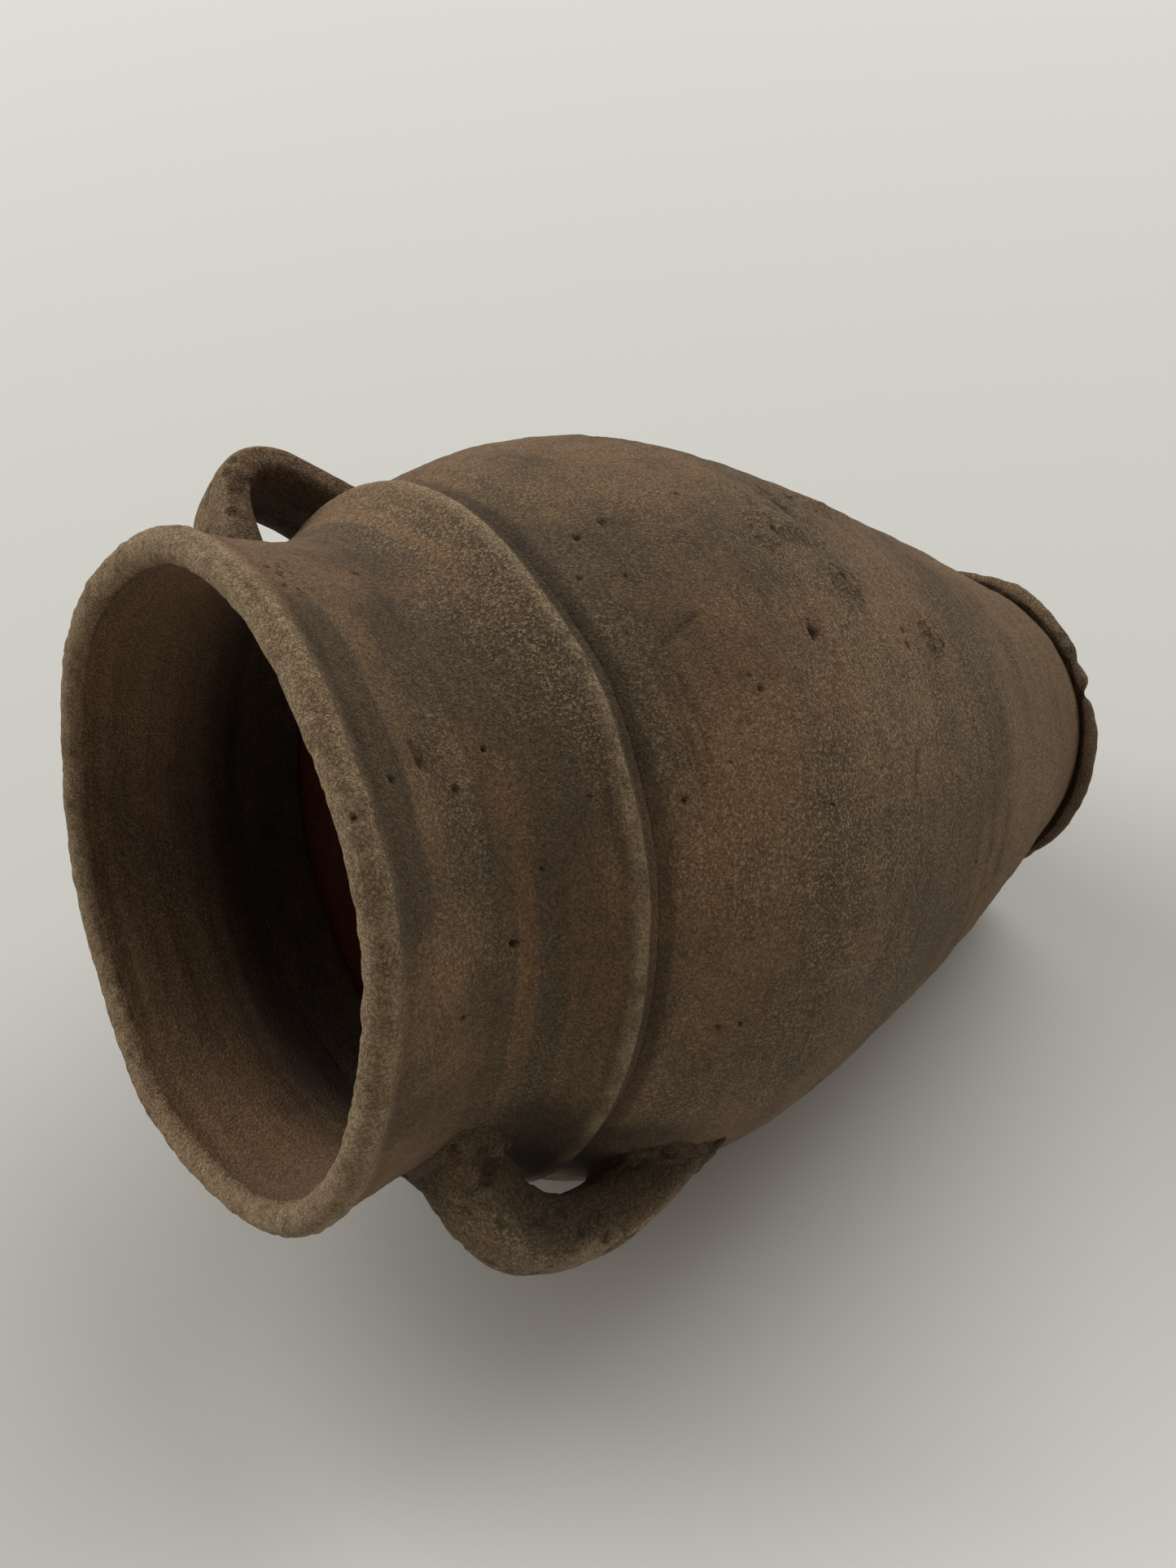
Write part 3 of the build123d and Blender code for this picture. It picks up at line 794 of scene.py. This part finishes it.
def wad_piece(node, strap, end, spread, reach, seed):
    """Luting clay pressed round one end of a strap: a ring that runs from the wall up on to the strap."""
    on_wall, corner, on_strap, wall_out, strap_out = wad_lines(strap, end, spread, reach, seed)
    t = np.linspace(0.0, 1.0, WAD_ROWS)[None, :, None]
    swell = corner + WAD_SWELL * (strap_out + wall_out)
    outside = (1 - t) ** 2 * on_wall[:, None] + 2 * (1 - t) * t * swell[:, None]
    outside = outside + t ** 2 * on_strap[:, None]
    lift = unit(strap_out[:, None] * t + wall_out[:, None] * (1 - t))
    room = np.sin(math.pi * t[..., 0]) ** 0.6
    rough = layered(outside, ((0.8, 6.0, seed), (0.55, 2.6, seed + 1), (0.2, 1.3, seed + 6)))
    torn = ease(lumps(outside, 2.6, seed + 2), 0.4, 0.7)
    outside = outside + ((rough - 0.5 * torn) * room)[..., None] * lift
    deep_strap = on_strap - WAD_DEPTH * strap_out
    deep_corner = corner - WAD_DEPTH * (strap_out + wall_out)
    deep_wall = on_wall - WAD_EDGE_DEPTH * wall_out
    buried = np.stack([deep_strap, deep_corner, deep_wall], axis=1)
    ring = np.concatenate([outside, buried], axis=1)
    tone = general_tone(np.degrees(np.arctan2(ring[..., 1], ring[..., 0])), ring)
    # Painted shade along the wad's edge where it meets the wall
    seam = 0.85 * (1.0 - t[..., 0]) ** 2 * ease(lumps(outside, 4.0, seed + 3), -0.8, 0.0)
    marks_and_shade = np.maximum(0.15 + 0.6 * torn * room, seam)
    tone["marks_and_shade"] = np.concatenate([marks_and_shade, np.zeros(buried.shape[:2])], axis=1)
    tone["smoke_and_shade"] = tone["smoke_and_shade"] + 0.6
    tone["sand"] = 0.4 * tone["sand"]
    tone["wear"] = 0.15 * ease(lumps(ring, 5.0, seed + 5), 0.0, 0.7)
    tone["inside"] = np.zeros(ring.shape[:2])
    quads = ring_quads(STRAP_AROUND, ring.shape[1])
    if end == "top":
        quads = quads[:, ::-1]
    finished(node, "luting_clay", ring, quads, tone)


# Materials

def chart(red, green, blue):
    """A colour-chart reading from 0 to 255 as a shader colour."""
    def plain(v):
        v = v / 255.0
        return v / 12.92 if v <= 0.04045 else ((v + 0.055) / 1.055) ** 2.4
    return (plain(red), plain(green), plain(blue), 1.0)


BROWN = chart(121, 95, 68)
# The grey below and the dark earth colour also carry painted shade
SMOKE_AND_SHADE_GREY = chart(89, 73, 54)
OCHRE = chart(142, 104, 70)
SANDY = chart(172, 148, 115)
DARK_EARTH_AND_SHADE = chart(34, 27, 21)
RED_EARTH = chart(168, 106, 80)
FLOOR_PALE = chart(196, 194, 188)
# Painted light: a lighter floor colour laid towards the near side, standing in for light the lamps don't
# give there
FLOOR_PAINTED_LIGHT = chart(236, 234, 229)
FLOOR_SHADE = chart(190, 187, 180)
BACKGROUND_PALE = chart(205, 203, 197)


def add(tree, kind, settings=None, sockets=None):
    """A node with its settings, and its sockets joined or set."""
    node = tree.nodes.new(kind)
    for key, value in (settings or {}).items():
        setattr(node, key, value)
    for key, value in (sockets or {}).items():
        if isinstance(value, bpy.types.NodeSocket):
            tree.links.new(value, node.inputs[key])
        else:
            node.inputs[key].default_value = value
    return node


def mixed(tree, share, first, second):
    """The second colour laid over the first."""
    node = add(tree, "ShaderNodeMix", {"data_type": "RGBA"}, {0: share, 6: first, 7: second})
    return node.outputs[2]


def sums(tree, way, *values):
    node = add(tree, "ShaderNodeMath", {"operation": way}, dict(enumerate(values)))
    return node.outputs[0]


def strengthened(tree, value, strength):
    return sums(tree, "MULTIPLY", value, strength)


def ramped(tree, value, low, high):
    """0 below low and 1 above high, with a soft step between."""
    node = add(tree, "ShaderNodeMapRange", {"interpolation_type": "SMOOTHSTEP"},
               {"Value": value, "From Min": low, "From Max": high})
    return node.outputs["Result"]


def grain(tree, where, scale, detail=2.0, roughness=0.6):
    node = add(tree, "ShaderNodeTexNoise", None,
               {"Vector": where, "Scale": scale, "Detail": detail, "Roughness": roughness})
    return node.outputs[0]


def new_group(name, amounts, results):
    """An empty shader group that takes a place and some amounts, and the sockets of what it's given."""
    group = bpy.data.node_groups.new(name, "ShaderNodeTree")
    group.interface.new_socket("Vector", in_out="INPUT", socket_type="NodeSocketVector")
    for label, amount in amounts.items():
        socket = group.interface.new_socket(label, in_out="INPUT", socket_type="NodeSocketFloat")
        socket.default_value = amount
    for label in results:
        group.interface.new_socket(label, in_out="OUTPUT", socket_type="NodeSocketFloat")
    return group, group.nodes.new("NodeGroupInput").outputs


def sand_grain_group():
    """Sandy temper showing at the surface: pale grains, dark specks and their height."""
    group, given = new_group("sand_grain", {"Size": 1.0}, ("Pale", "Dark", "Height"))
    where = add(group, "ShaderNodeVectorMath", {"operation": "SCALE"},
                {"Vector": given["Vector"], "Scale": given["Size"]}).outputs[0]
    fine = grain(group, where, 2600.0, 2.0, 0.7)
    coarse = grain(group, where, 1400.0, 2.0, 0.6)
    winding = sums(group, "ABSOLUTE", sums(group, "SUBTRACT", grain(group, where, 1000.0, 2.0, 0.5), 0.5))
    gaps = ramped(group, winding, 0.05, 0.0)
    specks = ramped(group, grain(group, where, 1900.0, 1.0, 0.5), 0.42, 0.32)
    both = sums(group, "ADD", strengthened(group, fine, 0.5), strengthened(group, coarse, 0.5))
    raised = sums(group, "ADD", both, strengthened(group, gaps, -0.25))
    pale = ramped(group, both, 0.49, 0.58)
    dark = sums(group, "MAXIMUM", specks, strengthened(group, gaps, 0.75))
    add(group, "NodeGroupOutput", None, {"Pale": pale, "Dark": dark, "Height": raised})
    return group


def turning_lines_group():
    """Fine lines drawn round the jar by a wet hand on the turning wheel."""
    group, given = new_group("turning_lines", {"Count": 900.0}, ("Lines",))
    parts = add(group, "ShaderNodeSeparateXYZ", None, {"Vector": given["Vector"]})
    waver = grain(group, given["Vector"], 22.0, 1.0, 0.5)
    height = sums(group, "ADD", parts.outputs["Z"], strengthened(group, waver, 0.004))
    level = sums(group, "MULTIPLY", height, given["Count"])
    lines = add(group, "ShaderNodeTexNoise", {"noise_dimensions": "1D"},
                {"W": level, "Scale": 1.0, "Detail": 2.0})
    add(group, "NodeGroupOutput", None, {"Lines": lines.outputs[0]})
    return group


def fire_clouds_group():
    """Grey clouds and rosy blushes left by an open fire."""
    group, given = new_group("fire_clouds", {}, ("Cloud", "Blush", "Mottle"))
    where = given["Vector"]
    cloud = grain(group, where, 26.0, 5.0, 0.62)
    shifted = add(group, "ShaderNodeVectorMath", {"operation": "ADD"},
                  {0: where, 1: (0.37, 0.11, 0.53)}).outputs[0]
    blush = ramped(group, grain(group, shifted, 38.0, 4.0, 0.6), 0.5, 0.68)
    mottle = grain(group, shifted, 150.0, 3.0, 0.65)
    add(group, "NodeGroupOutput", None, {"Cloud": cloud, "Blush": blush, "Mottle": mottle})
    return group


def tone_of(tree, name):
    """One of the tones painted on a piece."""
    settings = {"attribute_type": "GEOMETRY", "attribute_name": name}
    return add(tree, "ShaderNodeAttribute", settings).outputs["Fac"]


SAND_GRAIN = sand_grain_group()
TURNING_LINES = turning_lines_group()
FIRE_CLOUDS = fire_clouds_group()


def empty_material(name):
    material = bpy.data.materials.new(name)
    material.use_nodes = True
    material.node_tree.nodes.clear()
    return material, material.node_tree


# How strongly each finish covers the clay, and the depth of the grain in metres
MOTTLE_STRENGTH = 0.9
WARM_STRENGTH = 0.6
BLUSH_STRENGTH = 0.3
SAND_STRENGTH = 0.66
WEAR_STRENGTH = 0.65
SPECK_STRENGTH = 0.44
MARKS_AND_SHADE_STRENGTH = 0.85
LINE_HEIGHT = 0.35
GRAIN_DEPTH = 0.0016


def clay(name, sand_size, line_count, line_depth, bump):
    """Unglazed clay fired in a smoky open fire, with painted shade carried in its darker tones."""
    material, tree = empty_material(name)
    where = add(tree, "ShaderNodeTexCoord").outputs["Object"]
    sand = add(tree, "ShaderNodeGroup", {"node_tree": SAND_GRAIN}, {"Vector": where, "Size": sand_size})
    fire = add(tree, "ShaderNodeGroup", {"node_tree": FIRE_CLOUDS}, {"Vector": where})
    lines = add(tree, "ShaderNodeGroup", {"node_tree": TURNING_LINES},
                {"Vector": where, "Count": line_count})
    mottle = fire.outputs["Mottle"]
    smoke_and_shade = sums(tree, "ADD", tone_of(tree, "smoke_and_shade"), sums(tree, "SUBTRACT", fire.outputs["Cloud"], 0.5))
    mottling = strengthened(tree, sums(tree, "SUBTRACT", mottle, 0.5), MOTTLE_STRENGTH)
    smoke_and_shade = ramped(tree, sums(tree, "ADD", smoke_and_shade, mottling), 0.1, 1.0)
    blush = strengthened(tree, fire.outputs["Blush"], BLUSH_STRENGTH)
    warm = sums(tree, "ADD", strengthened(tree, tone_of(tree, "warm"), WARM_STRENGTH), blush)
    banding = ramped(tree, lines.outputs["Lines"], 0.3, 0.75)
    sandy = sums(tree, "MULTIPLY", sand.outputs["Pale"], tone_of(tree, "sand"))
    worn = sums(tree, "MULTIPLY", tone_of(tree, "wear"), ramped(tree, mottle, 0.25, 0.6))
    # The grey and the dark earth mixes carry painted shade as well as fire clouds, specks and dark marks
    colour = mixed(tree, smoke_and_shade, BROWN, SMOKE_AND_SHADE_GREY)
    colour = mixed(tree, warm, colour, OCHRE)
    colour = mixed(tree, strengthened(tree, banding, line_depth), colour, OCHRE)
    colour = mixed(tree, tone_of(tree, "inside"), colour, RED_EARTH)
    colour = mixed(tree, strengthened(tree, sandy, SAND_STRENGTH), colour, SANDY)
    colour = mixed(tree, strengthened(tree, worn, WEAR_STRENGTH), colour, SANDY)
    colour = mixed(tree, strengthened(tree, sand.outputs["Dark"], SPECK_STRENGTH), colour, DARK_EARTH_AND_SHADE)
    colour = mixed(tree, strengthened(tree, tone_of(tree, "marks_and_shade"), MARKS_AND_SHADE_STRENGTH), colour, DARK_EARTH_AND_SHADE)
    line_height = strengthened(tree, lines.outputs["Lines"], LINE_HEIGHT)
    height = sums(tree, "ADD", sand.outputs["Height"], line_height)
    bumped = add(tree, "ShaderNodeBump", None,
                 {"Strength": bump, "Distance": GRAIN_DEPTH, "Height": height})
    rough = add(tree, "ShaderNodeMapRange", None, {"Value": mottle, "To Min": 0.8, "To Max": 0.97})
    surface = add(tree, "ShaderNodeBsdfPrincipled", None,
                  {"Base Color": colour, "Roughness": rough.outputs["Result"],
                   "Normal": bumped.outputs["Normal"], "Specular IOR Level": 0.25})
    add(tree, "ShaderNodeOutputMaterial", None, {"Surface": surface.outputs[0]})
    return material


# The clay for each material slot
CLAYS = {
    "fired_clay": clay("fired_clay", 1.0, 420.0, 0.12, 0.9),
    "handle_clay": clay("handle_clay", 0.85, 300.0, 0.08, 1.0),
    "luting_clay": clay("luting_clay", 0.85, 260.0, 0.08, 1.0),
}


# The jar's pieces

turned_piece(
    "foot_disc", "fired_clay",
    [
        (straight((AXIS_RADIUS, 0.0), (FOOT_RADIUS - RIM_ROUND, 0.0)), 1.1, "under"),
        (round_arc((FOOT_RADIUS - RIM_ROUND, RIM_ROUND), RIM_ROUND, -90.0, 90.0), 0.5, "outside"),
        (straight((FOOT_RADIUS - RIM_ROUND, FLANGE_THICKNESS), HEEL), 0.5, "top"),
        *seat(2.0, HEEL, (PLUG_RADIUS, SEAT_HEIGHT), (PLUG_RADIUS, FLOOR_HEIGHT)),
        (straight((PLUG_RADIUS, FLOOR_HEIGHT), (AXIS_RADIUS, FLOOR_HEIGHT)), 2.0, "inside"),
        *seat(3.0, (AXIS_RADIUS, FLOOR_HEIGHT), (AXIS_RADIUS, 0.0)),
    ], foot_relief, 1.2)

COIL_INNER = PLUG_RADIUS - FLOOR_COIL_SIZE
turned_piece(
    "floor_coil", "luting_clay",
    [
        *seat(2.0, (COIL_INNER, FLOOR_HEIGHT), (PLUG_RADIUS, FLOOR_HEIGHT), (PLUG_RADIUS, BORE_TOP)),
        (round_arc((COIL_INNER, BORE_TOP), FLOOR_COIL_SIZE, 0.0, -90.0), 1.2, "inside"),
    ], coil_relief, 2.0)

turned_piece(
    "body", "fired_clay",
    [
        (BODY_OUTSIDE, 0.65, "outside"),
        *seat(1.5, SHOULDER, (COLLAR_RADIUS, SEAM_HEIGHT)),
        *seat(2.0, (COLLAR_RADIUS, SEAM_HEIGHT), (COLLAR_RADIUS, COLLAR_TOP),
              (THROAT_RADIUS, COLLAR_TOP), (THROAT_RADIUS, COIL_BOTTOM)),
        (BODY_INSIDE, 2.4, "inside"),
        *seat(3.0, (BORE_RADIUS, BORE_TOP), (BORE_RADIUS, SEAT_HEIGHT)),
        *seat(2.0, (BORE_RADIUS, SEAT_HEIGHT), HEEL),
    ], body_relief, 2.5)

turned_piece(
    "neck", "fired_clay",
    [
        (NECK_OUTSIDE, 0.5, "outside"),
        (LIP_LINE, 0.45, "lip"),
        (NECK_INSIDE, 1.1, "inside"),
        *seat(2.0, (COIL_FACE, COIL_TOP), (THROAT_RADIUS, COIL_TOP), (THROAT_RADIUS, SOCKET_TOP),
              (SOCKET_RADIUS, SOCKET_TOP), (SOCKET_RADIUS, SEAM_HEIGHT)),
        *seat(1.5, (SOCKET_RADIUS, SEAM_HEIGHT), (RIDGE_FOOT, SEAM_HEIGHT)),
    ], neck_relief, 1.6)

COIL_BACK = THROAT_RADIUS - 0.2
SMEAR_TOP = (61.3, 203.0)
COIL_EDGE = (COIL_FACE + COIL_ROUNDING, COIL_BOTTOM + COIL_ROUNDING)
turned_piece(
    "seam_coil", "luting_clay",
    [
        *seat(2.0, (COIL_BACK, COIL_BOTTOM), (COIL_BACK, COIL_TOP)),
        *seat(1.5, (COIL_BACK, COIL_TOP), SMEAR_TOP),
        (straight(SMEAR_TOP, (COIL_FACE - 0.2, COIL_TOP), (COIL_FACE, COIL_EDGE[1])), 0.8, "inside"),
        (round_arc(COIL_EDGE, COIL_ROUNDING, 180.0, 270.0), 0.6, "inside"),
        (straight((COIL_EDGE[0], COIL_BOTTOM), (COIL_BACK, COIL_BOTTOM)), 1.0, "inside"),
    ], coil_relief, 2.0)

left_strap = strap_piece("handle_left", LEFT_HANDLE, 101)
right_strap = strap_piece("handle_right", RIGHT_HANDLE, 131)
wad_piece("wad_upper_left", left_strap, "top", 4.0, 4.6, 161)
wad_piece("wad_lower_left", left_strap, "tail", 3.5, 6.0, 171)
wad_piece("wad_upper_right", right_strap, "top", 4.0, 6.0, 181)
wad_piece("wad_lower_right", right_strap, "tail", 3.5, 6.0, 191)


# Camera, at the photo's view

CAMERA_PLACE = Vector((-0.07515, -0.28045, 0.35886))
CAMERA_RIGHT = Vector((-0.35607, -0.51146, -0.78206))
CAMERA_DOWN = Vector((-0.90862, 0.38496, 0.16192))
CAMERA_AHEAD = Vector((0.21824, 0.76825, -0.60179))
CAMERA_LENS = 35.495


def set_camera():
    lens = bpy.data.cameras.new("view")
    lens.sensor_fit = "VERTICAL"
    lens.sensor_height = 36.0
    lens.lens = CAMERA_LENS
    lens.clip_start = 0.01
    lens.dof.use_dof = False
    camera = placed("view", lens)
    columns = Matrix([CAMERA_RIGHT, [-v for v in CAMERA_DOWN], [-v for v in CAMERA_AHEAD]]).transposed()
    camera.matrix_world = Matrix.Translation(CAMERA_PLACE) @ columns.to_4x4()
    bpy.context.scene.camera = camera


# Floor under the jar as it lies on its side

FLOOR_UP = Vector((0.4937, -0.8136, 0.3073)).normalized()
FLOOR_HALF = 4.0


def flat_on_floor(way):
    """A direction laid flat on the floor."""
    return (way - way.dot(FLOOR_UP) * FLOOR_UP).normalized()


FLOOR_NEAR_WAY = flat_on_floor(CAMERA_DOWN)
# Direction and distances, in metres, over which the floor is painted lighter as painted light
FLOOR_PALER_WAY = 0.35 * flat_on_floor(CAMERA_RIGHT) + 0.94 * FLOOR_NEAR_WAY
FLOOR_PALER_FROM, FLOOR_PALER_TO = 0.04, 0.24


def floor_material():
    """Pale floor, painted lighter towards the near side as painted light, that can be seen through from
    below.
    """
    material, tree = empty_material("pale_floor")
    where = add(tree, "ShaderNodeTexCoord").outputs["Object"]
    shade = grain(tree, where, 3.0, 3.0, 0.5)
    colour = mixed(tree, strengthened(tree, shade, 0.12), FLOOR_PALE, FLOOR_SHADE)
    # Painted light: the floor lightens towards the near side
    nearer = add(tree, "ShaderNodeVectorMath", {"operation": "DOT_PRODUCT"}, {0: where, 1: FLOOR_PALER_WAY})
    painted_light = ramped(tree, nearer.outputs["Value"], FLOOR_PALER_FROM, FLOOR_PALER_TO)
    colour = mixed(tree, painted_light, colour, FLOOR_PAINTED_LIGHT)
    surface = add(tree, "ShaderNodeBsdfPrincipled", None,
                  {"Base Color": colour, "Roughness": 0.9, "Specular IOR Level": 0.1})
    clear = add(tree, "ShaderNodeBsdfTransparent")
    behind = add(tree, "ShaderNodeNewGeometry").outputs["Backfacing"]
    seen = add(tree, "ShaderNodeLightPath").outputs["Is Camera Ray"]
    share = sums(tree, "MULTIPLY", behind, seen)
    choose = add(tree, "ShaderNodeMixShader", None, {0: share, 1: surface.outputs[0], 2: clear.outputs[0]})
    add(tree, "ShaderNodeOutputMaterial", None, {"Surface": choose.outputs[0]})
    return material


def lay_floor():
    lowest = min(float((piece @ np.array(FLOOR_UP)).min()) for piece in PIECES)
    side = FLOOR_UP.cross(Vector((0.0, 0.0, 1.0))).normalized()
    ahead = FLOOR_UP.cross(side)
    middle = FLOOR_UP * lowest
    signs = ((-1, -1), (1, -1), (1, 1), (-1, 1))
    corners = [middle + FLOOR_HALF * (a * side + b * ahead) for a, b in signs]
    mesh = bpy.data.meshes.new("pale_floor")
    mesh.from_pydata([tuple(c) for c in corners], [], [(0, 1, 2, 3)])
    mesh.update()
    if mesh.polygons[0].normal.dot(FLOOR_UP) < 0.0:
        mesh.flip_normals()
    mesh.materials.append(floor_material())
    floor = placed("pale_floor", mesh)
    return floor


# Soft studio light

JAR_MIDDLE = Vector((0.0, 0.0, 0.12))

# Lights: how far right, near and up they lie, distance and size in metres, power in watts, tint
WINDOW_LIGHT = ((-0.76, -0.42, 0.5), 3.0, 2.2, 70.0, (0.98, 1.0, 1.0))
FAR_LIGHT = ((0.4, -0.62, 0.68), 3.0, 3.0, 74.0, (0.97, 1.0, 1.03))
BACK_LIGHT = ((0.2, 0.0, -1.0), 1.4, 1.2, 3.0, (1.0, 0.98, 0.96))
ROOM_TINT = (1.0, 0.955, 0.88, 1.0)
ROOM_STRENGTH = 0.33


def soft_light(name, towards, distance, size, power, tint):
    """A square soft light, set off from the jar in the direction given."""
    lamp = bpy.data.lights.new(name, "AREA")
    lamp.shape = "SQUARE"
    lamp.size = size
    lamp.energy = power
    lamp.color = tint
    light = placed(name, lamp)
    right, near, up = towards
    way = (right * CAMERA_RIGHT + near * FLOOR_NEAR_WAY + up * FLOOR_UP).normalized()
    facing = way.to_track_quat("Z", "Y").to_matrix().to_4x4()
    light.matrix_world = Matrix.Translation(JAR_MIDDLE + way * distance) @ facing
    return light


def set_lights(floor):
    """Two lights over the jar, and a weak one from below that the floor doesn't block."""
    soft_light("window_light", *WINDOW_LIGHT)
    soft_light("far_light", *FAR_LIGHT)
    back = soft_light("back_light", *BACK_LIGHT)
    passed = bpy.data.collections.new("back_light_blockers")
    passed.objects.link(floor)
    back.light_linking.blocker_collection = passed
    passed.collection_objects[0].light_linking.link_state = "EXCLUDE"


def set_room():
    """Even light from all round, with a plain pale background."""
    world = bpy.data.worlds.new("studio")
    world.use_nodes = True
    tree = world.node_tree
    tree.nodes.clear()
    seen = add(tree, "ShaderNodeLightPath").outputs["Is Camera Ray"]
    room = add(tree, "ShaderNodeBackground", None, {"Color": ROOM_TINT, "Strength": ROOM_STRENGTH})
    pale = add(tree, "ShaderNodeBackground", None, {"Color": BACKGROUND_PALE, "Strength": 1.0})
    choose = add(tree, "ShaderNodeMixShader", None, {0: seen, 1: room.outputs[0], 2: pale.outputs[0]})
    add(tree, "ShaderNodeOutputWorld", None, {"Surface": choose.outputs[0]})
    bpy.context.scene.world = world


set_camera()
set_lights(lay_floor())
set_room()
bpy.context.scene.view_settings.view_transform = "Standard"
